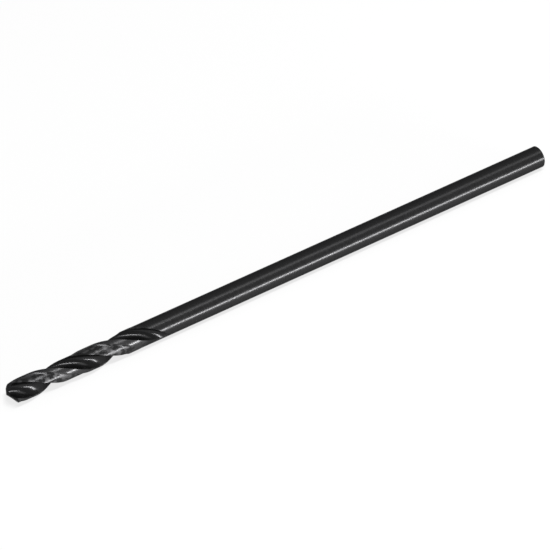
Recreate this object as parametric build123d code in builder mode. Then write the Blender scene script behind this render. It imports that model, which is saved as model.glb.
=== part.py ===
from build123d import *
import os
from math import asin, ceil, cos, degrees, pi, radians, sin, sqrt, tan

# A 7/16 in by 12 in straight-shank twist drill with two right-hand flutes, ground from one bar of steel.
# It lies along X in millimetres, with its point at the -X end and the origin at the centre of the shank's end.
# A "station" is a distance along the axis, measured back from the apex of the point.
# Each cross-section is drawn with one lip along its +x, starting at (0, -half_web). The other flute and land
# are the same, turned half round.

# Overall sizes
overall_length = 304.8
drill_diameter = 11.1125
shank_undersize = 0.1825        # the shank is this much thinner than the drill diameter
shank_chamfer = 0.4

# Along the body
body_step = 2.0                 # short cone from the drill diameter down to the shank
body_end = 69.0                 # station where the full drill diameter ends
runout_lead = 2.5               # the flutes begin to rise out of the bar this far before that
clearance_lead = 4.2            # the relief behind each margin begins to run out this far before that
clearance_fade = 2.7            # it runs out over this length

# Flutes
helix_lead = 68.6
web_thickness = 2.1             # at the point
web_taper = 0.022               # rise of each flute's floor for each millimetre of length
flute_floor_radius = 3.05       # round between the web and the heel
grinding_wheel_radius = 66.0    # the flutes run out on the radius of the wheel that ground them
rise_angle = -57.5              # direction in the section in which the flute rises
lip_angle = 4.7                 # angle of the lips about the axis, from +Y

# Lands
margin_angle = 23.0             # the narrow strip at full diameter behind each leading edge
clearance_depth = 0.48125       # the rest of each land is ground this much lower than the margin
clearance_sweep = 115.0         # from the leading edge, past the heel and into the next flute

# Point
point_angle = 118.0
flank_cone_angle = 90.0         # full angle of the cone that each flank is ground to
flank_cone_reach = 9.7          # from that cone's apex to the drill's axis, along the lip
flank_cone_offset = 4.4         # that cone's axis passes this far in front of the drill's, for lip relief

# Drawing allowances
section_step = 15.0             # turn of the helix from one cross-section to the next, degrees
run_out_step = 0.6              # spacing of the cross-sections where the relief runs out
lip_points = 7                  # points that draw the lip side of the flute
relief_points = 5               # points that draw the relieved surface across a land
seam_turn = -145.0              # the bar's seam lies on a land, clear of where the flutes run out
air = 1.0                       # cutting bodies reach this far outside the bar

shank_diameter = drill_diameter - shank_undersize
cleared_diameter = drill_diameter - 2 * clearance_depth
radius = drill_diameter / 2
shank_radius = shank_diameter / 2
cleared_radius = cleared_diameter / 2
half_web = web_thickness / 2
half_point = radians(point_angle / 2)
turn_rate = 360 / helix_lead
helix_slope = pi * drill_diameter / helix_lead
runout_start = body_end - runout_lead
clearance_end = body_end - clearance_lead
flank_depth = radius + air      # the flanks lie within this station
tip_x = -overall_length


def section_plane(station):
    """The plane square to the axis at a station, turned about the axis with the helix."""
    turn = radians(lip_angle + turn_rate * station)
    return Plane((tip_x + station, 0, 0), x_dir=(0, cos(turn), sin(turn)), z_dir=(1, 0, 0))


def rise(station):
    """How far the flute has risen out of the bar: the web's taper, then the wheel's radius."""
    past = max(0.0, station - runout_start)
    return web_taper * station + grinding_wheel_radius - sqrt(grinding_wheel_radius**2 - past**2)


def risen_plane(station):
    """The section plane with its origin moved as the flute rises."""
    plane = section_plane(station)
    height = rise(station)
    across = (height * cos(radians(rise_angle)), height * sin(radians(rise_angle)), 0)
    return plane.shift_origin(plane.from_local_coords(across))


def lip_side(along):
    """Point of the flute's lip side that meets the lip at this distance from the web.

    For the lip to be straight on the point's cone, each point is turned back as far as the helix turns in the
    cone's depth there.
    """
    turn = -radians(turn_rate) * along / tan(half_point)
    return (along * cos(turn) + half_web * sin(turn), along * sin(turn) - half_web * cos(turn))


def stations(start, end):
    """Evenly spaced stations, close enough for the helix."""
    count = ceil((end - start) * turn_rate / section_step)
    return [start + (end - start) * i / count for i in range(count + 1)]


# Turned bar: drill diameter, short step, shank with a chamfered end
seam = radians(lip_angle + turn_rate * (body_end + body_step) + seam_turn)

with BuildPart() as bar:
    with BuildSketch(Plane((0, 0, 0), x_dir=(1, 0, 0), z_dir=(0, -sin(seam), cos(seam)))):
        with BuildLine():
            Polyline(
                (tip_x - air, 0),
                (tip_x - air, radius),
                (tip_x + body_end, radius),
                (tip_x + body_end + body_step, shank_radius),
                (-shank_chamfer, shank_radius),
                (0, shank_radius - shank_chamfer),
                (0, 0),
                close=True,
            )
        make_face()
    revolve(axis=Axis.X)

# One flute: the form of the grinding wheel carried along the helix, rising at the end until it leaves the bar
outside = radius + air
lip_reach = 1.5 * radius
full_rise = radius - half_web + air
runout_end = runout_start + sqrt(grinding_wheel_radius**2 - (grinding_wheel_radius - full_rise)**2)

with BuildPart() as flute:
    for station in stations(-air, runout_end):
        with BuildSketch(risen_plane(station)):
            with BuildLine():
                floor_end = (-flute_floor_radius, -half_web - flute_floor_radius)
                lip_end = lip_side(lip_reach)
                Spline([lip_side(lip_reach * i / (lip_points - 1)) for i in range(lip_points)])
                CenterArc((0, floor_end[1]), flute_floor_radius, 90, 90)
                Polyline(floor_end, (floor_end[0], -2 * outside), (lip_end[0], -2 * outside), lip_end)
            make_face()
    loft()

# The relief behind one margin. Its end is square to the helix, so it runs out at the heel before the margin
leading_edge = -degrees(asin(half_web / radius)) - turn_rate * sqrt(radius**2 - half_web**2) / tan(half_point)
relief_start = leading_edge + margin_angle
relief_size = clearance_sweep - margin_angle
relief_outside = 2 * radius
run_out_start = clearance_end - helix_slope * radius * radians(relief_size)
run_out_end = clearance_end + clearance_fade
run_out_count = ceil((run_out_end - run_out_start) / run_out_step)
relief_angles = [relief_start + relief_size * i / (relief_points - 1) for i in range(relief_points)]


def relieved_point(station, angle):
    """Point of the relieved surface: it leaves the bar on a parabola, which stands for the wheel's radius."""
    past = max(0.0, station - clearance_end + helix_slope * radius * radians(angle - relief_start))
    height = cleared_radius + (radius - cleared_radius) * (past / clearance_fade)**2
    return (height * cos(radians(angle)), height * sin(radians(angle)))


with BuildPart() as land_relief:
    for span in (
        stations(-air, run_out_start),
        [run_out_start + (run_out_end - run_out_start) * i / run_out_count for i in range(run_out_count + 1)],
    ):
        for station in span:
            with BuildSketch(section_plane(station)):
                with BuildLine():
                    floor = Spline([relieved_point(station, angle) for angle in relief_angles])
                    outer = CenterArc((0, 0), relief_outside, relief_start, relief_size)
                    Line(floor @ 0, outer @ 0)
                    Line(floor @ 1, outer @ 1)
                make_face()
        loft()

# The ground flank behind one lip: all that lies ahead of a cone through the apex
flank_half_angle = radians(flank_cone_angle / 2)
cone_tilt = half_point - flank_half_angle
cone_ahead = flank_cone_reach * cos(flank_half_angle)
cone_beside = sqrt((cone_ahead * tan(flank_half_angle))**2 - flank_cone_offset**2)
tip = section_plane(0)
cone_apex = tip.from_local_coords((
    -cone_ahead * sin(cone_tilt) - cone_beside * cos(cone_tilt),
    -flank_cone_offset,
    -cone_ahead * cos(cone_tilt) + cone_beside * sin(cone_tilt),
))
cone_axis = tip.x_dir * sin(cone_tilt) + tip.z_dir * cos(cone_tilt)
cone_length = 4 * drill_diameter

with BuildPart() as flank_waste:
    with BuildSketch(Plane.YZ.offset(tip_x - 2 * air)):
        Circle(outside)
    extrude(amount=2 * air + flank_depth)
    with Locations(Plane(cone_apex, z_dir=cone_axis)):
        Cone(0, cone_length * tan(flank_half_angle), cone_length,
             align=(Align.CENTER, Align.CENTER, Align.MIN), mode=Mode.SUBTRACT)

# The finished drill: each cut is made twice, half a turn apart
with BuildPart() as twist_drill:
    add(bar.part)
    for half_turn in (0, 180):
        for waste in (flute.part, land_relief.part, flank_waste.part):
            add(waste, rotation=(half_turn, 0, 0), mode=Mode.SUBTRACT)

twist_drill.part.label = "twist_drill"
os.makedirs("parts", exist_ok=True)
export_step(twist_drill.part, "parts/twist_drill.step")
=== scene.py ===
import math

import bmesh
import bpy
import numpy as np
from mathutils import Matrix, Vector


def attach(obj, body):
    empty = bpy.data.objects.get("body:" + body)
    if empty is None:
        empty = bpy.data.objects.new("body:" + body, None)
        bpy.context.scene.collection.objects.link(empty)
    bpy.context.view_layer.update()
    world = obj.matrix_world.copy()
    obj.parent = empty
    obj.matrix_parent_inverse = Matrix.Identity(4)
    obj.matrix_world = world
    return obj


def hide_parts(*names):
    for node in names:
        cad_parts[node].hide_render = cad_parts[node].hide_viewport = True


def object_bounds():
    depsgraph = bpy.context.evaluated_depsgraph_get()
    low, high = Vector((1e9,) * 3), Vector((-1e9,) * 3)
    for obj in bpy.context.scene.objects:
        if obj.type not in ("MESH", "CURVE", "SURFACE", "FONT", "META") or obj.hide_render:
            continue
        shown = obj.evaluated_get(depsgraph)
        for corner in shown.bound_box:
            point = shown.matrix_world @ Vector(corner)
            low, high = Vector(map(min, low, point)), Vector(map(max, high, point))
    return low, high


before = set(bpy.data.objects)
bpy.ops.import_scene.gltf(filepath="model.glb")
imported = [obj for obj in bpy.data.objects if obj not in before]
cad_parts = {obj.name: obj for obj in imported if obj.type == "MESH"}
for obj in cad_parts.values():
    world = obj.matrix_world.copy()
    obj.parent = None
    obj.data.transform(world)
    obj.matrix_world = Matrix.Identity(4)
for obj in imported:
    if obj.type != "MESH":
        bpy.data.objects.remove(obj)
cad_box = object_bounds()

MM = 0.001

# ---- The drill's sizes in millimetres and radians. They are those of the part's source, apart from the
# margin: it is 1 degree narrower here, because the round at its foot (STEP_ROUND) is a plain step there.
# A "station" is a distance along the axis from the apex of the point.
LENGTH = 304.8
RADIUS = 11.1125 / 2
SHANK_RADIUS = 10.93 / 2
SHANK_CHAMFER = 0.4
BODY_END = 69.0
BODY_STEP = 2.0
CLEARED_RADIUS = 10.15 / 2
CLEARANCE_END = 64.8
CLEARANCE_FADE = 2.7
CLEARANCE_SWEEP = math.radians(115.0)
RUNOUT_START = 66.5
HELIX_LEAD = 68.6
HALF_WEB = 1.05
WEB_TAPER = 0.022
FLOOR_RADIUS = 3.05
WHEEL_RADIUS = 66.0
RISE_ANGLE = math.radians(-57.5)
LIP_ANGLE = math.radians(4.7)
MARGIN_ANGLE = math.radians(22.0)
STEP_ROUND = math.radians(13.0)
HALF_POINT = math.radians(59.0)
CONE_HALF = math.radians(45.0)
CONE_REACH = 9.7
CONE_OFFSET = 4.4

TURN_RATE = 2 * math.pi / HELIX_LEAD
HELIX_SLOPE = TURN_RATE * RADIUS
LIP_TURN = TURN_RATE / math.tan(HALF_POINT)
LEADING_EDGE = -math.asin(HALF_WEB / RADIUS) - LIP_TURN * math.sqrt(RADIUS**2 - HALF_WEB**2)
RELIEF_START = LEADING_EDGE + MARGIN_ANGLE

# ---- How finely the mesh follows them
HEEL_SAMPLES = 200              # points that draw each part of a flute's outline before it is evened out
FLOOR_SAMPLES = 300
LIP_SAMPLES = 500
LIP_REACH = 1.5 * RADIUS
FLUTE_POINTS = 60               # points of each part of a finished half section
MARGIN_POINTS = 9
ROUND_POINTS = 12
LAND_POINTS = 24
LEAST_LAND = 0.1                # radians of land kept between the round and the heel
FIRST_STATION = -1.0            # the rings begin ahead of the apex, and the flanks are cut out of them
RING_STEP = 0.45
END_LENGTH = 2.0                # over this last stretch of the flutes the rings draw together
END_RINGS = 16
END_GAP = 0.01                  # from the flutes' last ring to the first plain one
END_SEARCH_STEPS = 40
WELD_DISTANCE = 0.002
CONE_SIDES = 360
PIT_DEPTH = 13.0
PIT_COVER = 2.0                 # metal ahead of the pit's apex that the same cut takes away
SHARP_ANGLE = math.radians(24.0)


def bar_radius(station):
    """Radius of the turned bar, before any flute or relief."""
    return float(np.interp(station, [BODY_END, BODY_END + BODY_STEP], [RADIUS, SHANK_RADIUS]))


def land_radius(station, angle):
    """Radius of the ground land behind a leading edge, from the step at RELIEF_START on."""
    past = np.maximum(0.0, station - CLEARANCE_END + HELIX_SLOPE * RADIUS * (angle - RELIEF_START))
    relieved = CLEARED_RADIUS + (RADIUS - CLEARED_RADIUS) * (past / CLEARANCE_FADE) ** 2
    bar = bar_radius(station)
    relieved = np.minimum(bar, relieved)
    up_the_round = np.clip(1 - (angle - RELIEF_START) / STEP_ROUND, 0.0, 1.0)
    ground = (angle > RELIEF_START) & (angle < LEADING_EDGE + CLEARANCE_SWEEP)
    return np.where(ground, relieved + (bar - relieved) * up_the_round**2, bar)


def flute_outline(station):
    """Closely spaced points down a flute's heel side, round its floor and up its lip side."""
    drop = np.linspace(RADIUS, 0.0, HEEL_SAMPLES)[:-1]
    heel_side = np.stack([np.full_like(drop, -FLOOR_RADIUS), -HALF_WEB - FLOOR_RADIUS - drop], 1)
    sweep = np.linspace(math.pi / 2, 0.0, FLOOR_SAMPLES)[:-1]
    floor_round = np.stack([-FLOOR_RADIUS * np.sin(sweep), -HALF_WEB - FLOOR_RADIUS * (1 - np.cos(sweep))], 1)
    reach = np.linspace(0.0, LIP_REACH, LIP_SAMPLES)
    turn = -LIP_TURN * reach
    lip_side = np.stack([
        reach * np.cos(turn) + HALF_WEB * np.sin(turn),
        reach * np.sin(turn) - HALF_WEB * np.cos(turn),
    ], 1)
    past = max(0.0, station - RUNOUT_START)
    height = WEB_TAPER * station + WHEEL_RADIUS - math.sqrt(WHEEL_RADIUS**2 - past**2)
    rise = height * np.array([math.cos(RISE_ANGLE), math.sin(RISE_ANGLE)])
    return np.concatenate([heel_side, floor_round, lip_side]) + rise


def flute_path(station):
    """The part of a flute's outline that lies inside the bar, or None past the flute's end."""
    outline = flute_outline(station)
    radius = np.hypot(outline[:, 0], outline[:, 1])
    nearest = int(np.argmin(radius))
    angle = np.unwrap(np.arctan2(outline[:, 1], outline[:, 0]))
    angle -= 2 * math.pi * round((angle[nearest] + math.pi / 2) / (2 * math.pi))
    limit = land_radius(station, angle + math.pi)
    limit[nearest:] = bar_radius(station)
    gap = radius - limit
    inside = np.nonzero(gap < 0)[0]
    if len(inside) < 2:
        return None

    def crossing(a, b):
        """Where the outline passes through the bar's surface, between two of its points."""
        return outline[a] + gap[a] / (gap[a] - gap[b]) * (outline[b] - outline[a])

    first, last = inside[0], inside[-1]
    start = crossing(first - 1, first)
    end = crossing(last, last + 1)
    return np.concatenate([[start], outline[first:last + 1], [end]])


def evenly_spaced(path, count):
    """The same path as this many points, at equal distances."""
    along = np.concatenate([[0.0], np.cumsum(np.hypot(*np.diff(path, axis=0).T))])
    even = np.linspace(0.0, along[-1], count)
    return np.stack([np.interp(even, along, path[:, 0]), np.interp(even, along, path[:, 1])], 1)


def polar(radius, angle):
    """Points of a cross-section from their radius and angle."""
    return np.stack([radius * np.cos(angle), radius * np.sin(angle)], 1)


def half_section(station):
    """One flute and the land behind it as points of a cross-section, or None past the flute's end."""
    path = flute_path(station)
    if path is None:
        return None
    lead = math.atan2(path[-1][1], path[-1][0])
    heel = math.atan2(-path[0][1], -path[0][0])
    step = max(RELIEF_START, lead)
    foot = min(step + STEP_ROUND, heel - LEAST_LAND)
    margin = polar(bar_radius(station), np.linspace(lead, step, MARGIN_POINTS + 1)[1:])
    land_angle = np.concatenate([
        np.linspace(step, foot, ROUND_POINTS + 1)[1:],
        np.linspace(foot, heel, LAND_POINTS + 1)[1:-1],
    ])
    land = polar(land_radius(station, land_angle), land_angle)
    return np.concatenate([evenly_spaced(path, FLUTE_POINTS), margin, land])


def ring(half, station, turn):
    """Both halves of a cross-section as points of the drill."""
    both = np.concatenate([half, -half])
    c, s = math.cos(turn), math.sin(turn)
    y = both[:, 0] * c - both[:, 1] * s
    z = both[:, 0] * s + both[:, 1] * c
    return np.stack([np.full_like(y, station - LENGTH), y, z], 1)


def last_fluted_station():
    """Where the flutes have risen out of the bar, found by halving."""
    low, high = RUNOUT_START, RUNOUT_START + WHEEL_RADIUS / 2
    for _ in range(END_SEARCH_STEPS):
        middle = (low + high) / 2
        if half_section(middle) is None:
            high = middle
        else:
            low = middle
    return low


def drill_rings():
    """The cross-sections from ahead of the point to the shank's end."""
    flute_end = last_fluted_station()
    even_end = flute_end - END_LENGTH
    stations = list(np.linspace(FIRST_STATION, even_end, round(even_end / RING_STEP)))
    stations += [flute_end - END_LENGTH * (1 - k / END_RINGS) ** 2 for k in range(1, END_RINGS + 1)]
    rings = [ring(half_section(s), s, LIP_ANGLE + TURN_RATE * s) for s in stations]
    last = half_section(flute_end)
    last_angle = np.arctan2(last[:, 1], last[:, 0])
    turn = LIP_ANGLE + TURN_RATE * flute_end
    for radius, station in (
        (SHANK_RADIUS, flute_end + END_GAP),
        (SHANK_RADIUS, LENGTH - SHANK_CHAMFER),
        (SHANK_RADIUS - SHANK_CHAMFER, LENGTH),
    ):
        rings.append(ring(polar(radius, last_angle), station, turn))
    return rings


def new_object(name, data):
    """An object with this data, linked into the scene."""
    piece = bpy.data.objects.new(name, data)
    bpy.context.scene.collection.objects.link(piece)
    return piece


def mesh_data(name, mesh):
    """The finished bmesh as Blender mesh data, with its faces turned outwards."""
    bmesh.ops.recalc_face_normals(mesh, faces=mesh.faces)
    data = bpy.data.meshes.new(name)
    mesh.to_mesh(data)
    mesh.free()
    return data


def body_mesh():
    """The bar with its flutes and lands, as a closed mesh. Its front is flat until the flanks are cut."""
    mesh = bmesh.new()
    rings = [[mesh.verts.new(p) for p in points] for points in drill_rings()]
    for a, b in zip(rings, rings[1:]):
        for i in range(len(a)):
            j = (i + 1) % len(a)
            mesh.faces.new((a[i], a[j], b[j], b[i]))
    mesh.faces.new(rings[0])
    mesh.faces.new(rings[-1])
    bmesh.ops.remove_doubles(mesh, verts=mesh.verts, dist=WELD_DISTANCE)
    return mesh_data("drill", mesh)


def flank_waste(side):
    """A short cylinder with a conical pit: what is ground away ahead of the flank behind one lip."""
    tilt = HALF_POINT - CONE_HALF
    ahead = CONE_REACH * math.cos(CONE_HALF)
    beside = math.sqrt((ahead * math.tan(CONE_HALF)) ** 2 - CONE_OFFSET**2)
    c, s = math.cos(LIP_ANGLE), math.sin(LIP_ANGLE)
    across = Vector((0, c, s)) * side
    up = Vector((0, -s, c)) * side
    back = Vector((1, 0, 0))
    apex = Vector((-LENGTH, 0, 0)) + across * (-ahead * math.sin(tilt) - beside * math.cos(tilt))
    apex += up * -CONE_OFFSET + back * (-ahead * math.cos(tilt) + beside * math.sin(tilt))
    axis = across * math.sin(tilt) + back * math.cos(tilt)
    first = axis.cross(up).normalized()
    second = axis.cross(first)
    mesh = bmesh.new()
    point = mesh.verts.new(apex)
    rim, front = [], []
    for i in range(CONE_SIDES):
        a = 2 * math.pi * i / CONE_SIDES
        out = (first * math.cos(a) + second * math.sin(a)) * PIT_DEPTH * math.tan(CONE_HALF)
        rim.append(mesh.verts.new(apex + axis * PIT_DEPTH + out))
        front.append(mesh.verts.new(apex - axis * PIT_COVER + out))
    for i in range(CONE_SIDES):
        j = (i + 1) % CONE_SIDES
        mesh.faces.new((point, rim[i], rim[j]))
        mesh.faces.new((rim[i], front[i], front[j], rim[j]))
    mesh.faces.new(front)
    return new_object("flank_waste", mesh_data("flank_waste", mesh))


def cut_away(piece, waste):
    """Takes the waste out of the piece and removes it."""
    cut = piece.modifiers.new("flank", "BOOLEAN")
    cut.operation = "DIFFERENCE"
    cut.solver = "EXACT"
    cut.object = waste
    evaluated = piece.evaluated_get(bpy.context.evaluated_depsgraph_get())
    cut_mesh = bpy.data.meshes.new_from_object(evaluated)
    piece.modifiers.clear()
    piece.data = cut_mesh
    bpy.data.objects.remove(waste)


def build_drill():
    """The whole drill in metres, smooth but for its ground edges."""
    piece = new_object("drill", body_mesh())
    for side in (1, -1):
        cut_away(piece, flank_waste(side))
    mesh = bmesh.new()
    mesh.from_mesh(piece.data)
    bmesh.ops.scale(mesh, vec=(MM, MM, MM), verts=mesh.verts)
    bmesh.ops.triangulate(mesh, faces=[f for f in mesh.faces if len(f.verts) > 4])
    for face in mesh.faces:
        face.smooth = True
    for edge in mesh.edges:
        edge.smooth = edge.calc_face_angle(0.0) < SHARP_ANGLE
    mesh.to_mesh(piece.data)
    triangles = sum(len(f.verts) - 2 for f in mesh.faces)
    open_edges = sum(1 for e in mesh.edges if not e.is_manifold)
    print("drill:", triangles, "triangles,", open_edges, "open edges")
    mesh.free()
    return piece


drill = build_drill()
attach(drill, "root")
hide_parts("twist_drill")


# ---- Camera, at the photo's angle: the axis is tilted 25.2 degrees to the picture, tip towards the viewer
IMAGE_PX = 550
VIEW_DIR = Vector((0.4258, 0.6217, -0.6574)).normalized()
IMAGE_RIGHT = Vector((0.8250, -0.5652, 0.0)).normalized()
LOOK_AT = Vector((-153.82, 0.0, 0.0)) * MM
CAMERA_DISTANCE = 2.370
FOCAL_PX = 5003.0
SENSOR_MM = 36.0
SHIFT_PX = (-3.24, -1.39)
CLIP_END = 20.0


def add_camera():
    data = bpy.data.cameras.new("camera")
    data.sensor_width = SENSOR_MM
    data.lens = FOCAL_PX / IMAGE_PX * SENSOR_MM
    data.shift_x = SHIFT_PX[0] / IMAGE_PX
    data.shift_y = SHIFT_PX[1] / IMAGE_PX
    data.clip_end = CLIP_END
    camera = new_object("camera", data)
    image_up = IMAGE_RIGHT.cross(VIEW_DIR)
    rotation = Matrix((IMAGE_RIGHT, image_up, -VIEW_DIR)).transposed()
    camera.matrix_world = Matrix.Translation(LOOK_AT - VIEW_DIR * CAMERA_DISTANCE) @ rotation.to_4x4()
    bpy.context.scene.camera = camera


add_camera()


# ---- Light
LAMP_DISTANCE = 1.6
WORLD_STRENGTH = 0.34


def from_front(elevation, along):
    """A direction at this elevation over the front horizon, with this share of it along X."""
    across = math.sqrt(1 - along**2)
    a = math.radians(elevation)
    return Vector((along, -across * math.cos(a), across * math.sin(a)))


def add_lamp(name, direction, length, height, radiance):
    """A rectangle that faces the drill, its length along X. Its power follows from how bright it looks."""
    data = bpy.data.lights.new(name, "AREA")
    data.shape = "RECTANGLE"
    data.size = length
    data.size_y = height
    data.energy = radiance * math.pi * length * height
    toward = direction.normalized()
    along = (Vector((1, 0, 0)) - toward * toward.x).normalized()
    rotation = Matrix((along, toward.cross(along), toward)).transposed()
    new_object(name, data).matrix_world = (
        Matrix.Translation(LOOK_AT + toward * LAMP_DISTANCE) @ rotation.to_4x4()
    )


def add_world():
    """An even grey-white sky."""
    world = bpy.data.worlds.new("world")
    bpy.context.scene.world = world
    world.use_nodes = True
    sky = world.node_tree.nodes["Background"]
    sky.inputs["Color"].default_value = (1, 1, 1, 1)
    sky.inputs["Strength"].default_value = WORLD_STRENGTH


# The front strip makes the shank's bright line and the lower streaks in the flutes, the overhead strip their
# upper streaks, and the panel the shank's dim band.
add_lamp("front_strip", from_front(4.8, 0.38), 0.95, 0.17, 56.0)
add_lamp("overhead_strip", from_front(74.0, 0.0), 0.90, 0.13, 46.0)
add_lamp("overhead_panel", from_front(81.0, 0.4258), 0.90, 0.50, 2.0)
add_world()


class Surface:
    """A new material, with short calls that add its nodes."""

    def __init__(self, name):
        self.material = bpy.data.materials.new(name)
        self.material.use_nodes = True
        self.nodes = self.material.node_tree.nodes
        self.link = self.material.node_tree.links.new
        self.shader = self.nodes["Principled BSDF"]

    def math(self, operation, a, b=None, clamp=False):
        """A Math node on numbers or sockets."""
        node = self.nodes.new("ShaderNodeMath")
        node.operation = operation
        node.use_clamp = clamp
        for socket, value in zip(node.inputs, (a, b)):
            if value is None:
                continue
            if isinstance(value, (int, float)):
                socket.default_value = value
            else:
                self.link(value, socket)
        return node.outputs[0]

    def scaled(self, vector, scale):
        """A vector with each of its parts scaled."""
        node = self.nodes.new("ShaderNodeVectorMath")
        node.operation = "MULTIPLY"
        self.link(vector, node.inputs[0])
        node.inputs[1].default_value = scale
        return node.outputs[0]

    def noise(self, place, scale, detail):
        """Noise with this many cells to the metre along X, Y and Z."""
        node = self.nodes.new("ShaderNodeTexNoise")
        node.inputs["Scale"].default_value = 1.0
        node.inputs["Detail"].default_value = detail
        self.link(self.scaled(place, scale), node.inputs["Vector"])
        return node.outputs["Fac"]

    def ramp(self, value, source, target):
        """The value moved from one span of numbers to another, and held at its ends."""
        node = self.nodes.new("ShaderNodeMapRange")
        self.link(value, node.inputs["Value"])
        for name, number in zip(("From Min", "From Max", "To Min", "To Max"), (*source, *target)):
            node.inputs[name].default_value = number
        return node.outputs["Result"]


# ---- Floor
FLOOR_HALF = 4.0
FLOOR_GAP = 0.0001
FLOOR_WHITE = 0.95
FLOOR_ROUGHNESS = 0.9
PLAIN_WHITE_SHARE = 0.75        # of what is seen of the floor; the rest is lit and holds the shadow


def floor_material():
    """White paper. What the camera sees of it, also in the metal, is mostly its plain white."""
    paper = Surface("floor_white")
    paper.shader.inputs["Base Color"].default_value = (FLOOR_WHITE, FLOOR_WHITE, FLOOR_WHITE, 1)
    paper.shader.inputs["Roughness"].default_value = FLOOR_ROUGHNESS
    paper.shader.inputs["Specular IOR Level"].default_value = 0.0
    path = paper.nodes.new("ShaderNodeLightPath").outputs
    seen = paper.math("MAXIMUM", path["Is Camera Ray"], path["Is Glossy Ray"])
    seen = paper.math("MAXIMUM", seen, path["Is Transmission Ray"])
    white = paper.nodes.new("ShaderNodeEmission")
    white.inputs["Strength"].default_value = 1.0
    mix = paper.nodes.new("ShaderNodeMixShader")
    paper.link(paper.math("MULTIPLY", seen, PLAIN_WHITE_SHARE), mix.inputs["Fac"])
    paper.link(paper.shader.outputs[0], mix.inputs[1])
    paper.link(white.outputs[0], mix.inputs[2])
    paper.link(mix.outputs[0], paper.nodes["Material Output"].inputs["Surface"])
    return paper.material


def add_floor():
    height = cad_box[0][2] - FLOOR_GAP
    signs = ((-1, -1), (1, -1), (1, 1), (-1, 1))
    corners = [(x * FLOOR_HALF, y * FLOOR_HALF, height) for x, y in signs]
    data = bpy.data.meshes.new("floor")
    data.from_pydata(corners, [], [(0, 1, 2, 3)])
    data.materials.append(floor_material())
    new_object("floor", data)


add_floor()


# ---- Black oxide on ground steel
UNIT = (0.0, 1.0)
NOISE_SPAN = (0.3, 0.7)         # where most of a noise's values lie
PATCH_SPAN = (0.44, 0.60)
PATCH_CELLS = (330, 420, 420)   # cells to the metre
GRAIN_CELLS = (1500, 1500, 1500)
RING_CELLS = (2600, 320, 320)
PATCH_DETAIL = 3.0
GRAIN_DETAIL = 3.0
RING_DETAIL = 2.0
OUTSIDE_SPAN = (CLEARED_RADIUS - 0.12, CLEARED_RADIUS - 0.03)
MARGIN_SPAN = (RADIUS - 0.15, RADIUS - 0.03)
BODY_SPAN = (BODY_END + BODY_STEP + 4 - LENGTH, BODY_END - LENGTH)
FLUTE_ROUGHNESS = (0.20, 0.22)
GROUND_ROUGHNESS = (0.19, 0.31)
PATCH_ROUGHNESS = 0.21          # more than the ground surface's
MARGIN_ROUGHNESS = 0.03
METALLIC = (0.85, 0.7)          # in the flutes and outside them
EDGE_TINT = (0.45, 0.45, 0.45, 1)
SHADE = (0.028, 0.040)
# The flutes' smaller share is painted shade: it darkens the colour in the flute hollows.
FLUTE_PAINTED_SHADE_SHARE = (0.76, 0.92)      # in the flutes and outside them
PATCH_SHADE = 0.060             # more than the rest
MARGIN_SHADE = 0.02
BLUE_SHARE = 1.02
GRAIN_HEIGHT = 0.5              # beside the grinding rings' 1
BUMP_DISTANCE = 0.012 * MM


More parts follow.
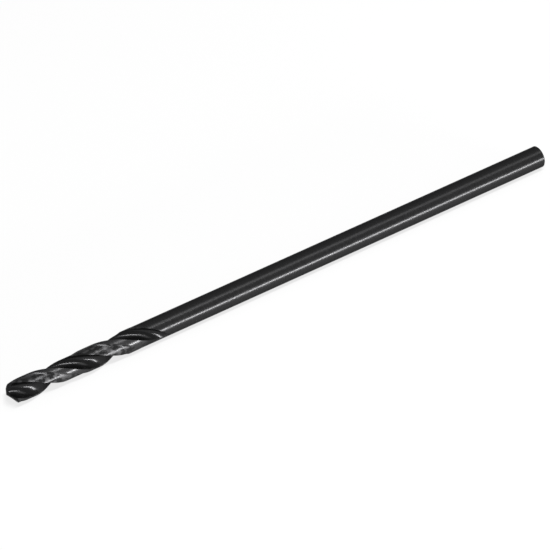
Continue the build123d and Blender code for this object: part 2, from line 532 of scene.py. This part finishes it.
def black_oxide():
    """The flutes are smooth, the shank is finely ground and the lands have worn patches."""
    steel = Surface("black_oxide")
    steel.shader.inputs["Specular IOR Level"].default_value = 0.0
    steel.shader.inputs["Specular Tint"].default_value = EDGE_TINT

    # Where each kind of surface lies
    place = steel.nodes.new("ShaderNodeTexCoord").outputs["Object"]
    split = steel.nodes.new("ShaderNodeSeparateXYZ")
    steel.link(steel.scaled(place, (1 / MM, 1 / MM, 1 / MM)), split.inputs[0])
    x, y, z = split.outputs
    squares = steel.math("ADD", steel.math("MULTIPLY", y, y), steel.math("MULTIPLY", z, z))
    radius = steel.math("SQRT", squares)
    outside = steel.ramp(radius, OUTSIDE_SPAN, UNIT)
    on_body = steel.ramp(x, BODY_SPAN, UNIT)
    lands = steel.math("MULTIPLY", outside, on_body)
    margins = steel.math("MULTIPLY", steel.ramp(radius, MARGIN_SPAN, UNIT), on_body)
    relieved = steel.math("SUBTRACT", lands, margins, clamp=True)

    # Worn patches, fine grain and grinding rings
    patches = steel.ramp(steel.noise(place, PATCH_CELLS, PATCH_DETAIL), PATCH_SPAN, UNIT)
    patches = steel.math("MULTIPLY", patches, relieved)
    grain = steel.noise(place, GRAIN_CELLS, GRAIN_DETAIL)
    rings = steel.noise(place, RING_CELLS, RING_DETAIL)

    # Roughness
    mix = steel.nodes.new("ShaderNodeMix")
    steel.link(outside, mix.inputs["Factor"])
    steel.link(steel.ramp(grain, NOISE_SPAN, FLUTE_ROUGHNESS), mix.inputs["A"])
    steel.link(steel.ramp(rings, NOISE_SPAN, GROUND_ROUGHNESS), mix.inputs["B"])
    roughness = steel.math("ADD", mix.outputs["Result"], steel.math("MULTIPLY", patches, PATCH_ROUGHNESS))
    roughness = steel.math("ADD", roughness, steel.math("MULTIPLY", margins, MARGIN_ROUGHNESS))
    steel.link(roughness, steel.shader.inputs["Roughness"])
    steel.link(steel.ramp(outside, UNIT, METALLIC), steel.shader.inputs["Metallic"])

    # Colour
    shade = steel.ramp(grain, NOISE_SPAN, SHADE)
    # Painted shade: the colour is made darker in the flutes than outside them.
    shade = steel.math("MULTIPLY", shade, steel.ramp(outside, UNIT, FLUTE_PAINTED_SHADE_SHARE))
    shade = steel.math("ADD", shade, steel.math("MULTIPLY", patches, PATCH_SHADE))
    shade = steel.math("ADD", shade, steel.math("MULTIPLY", margins, MARGIN_SHADE))
    colour = steel.nodes.new("ShaderNodeCombineColor")
    steel.link(shade, colour.inputs[0])
    steel.link(shade, colour.inputs[1])
    steel.link(steel.math("MULTIPLY", shade, BLUE_SHARE), colour.inputs[2])
    steel.link(colour.outputs[0], steel.shader.inputs["Base Color"])

    # Relief, outside the flutes only
    height = steel.math("ADD", steel.math("MULTIPLY", grain, GRAIN_HEIGHT), rings)
    bump = steel.nodes.new("ShaderNodeBump")
    bump.inputs["Strength"].default_value = 1.0
    bump.inputs["Distance"].default_value = BUMP_DISTANCE
    steel.link(steel.math("MULTIPLY", height, outside), bump.inputs["Height"])
    steel.link(bump.outputs[0], steel.shader.inputs["Normal"])
    return steel.material


drill.data.materials.append(black_oxide())

bpy.context.scene.view_settings.view_transform = "Standard"
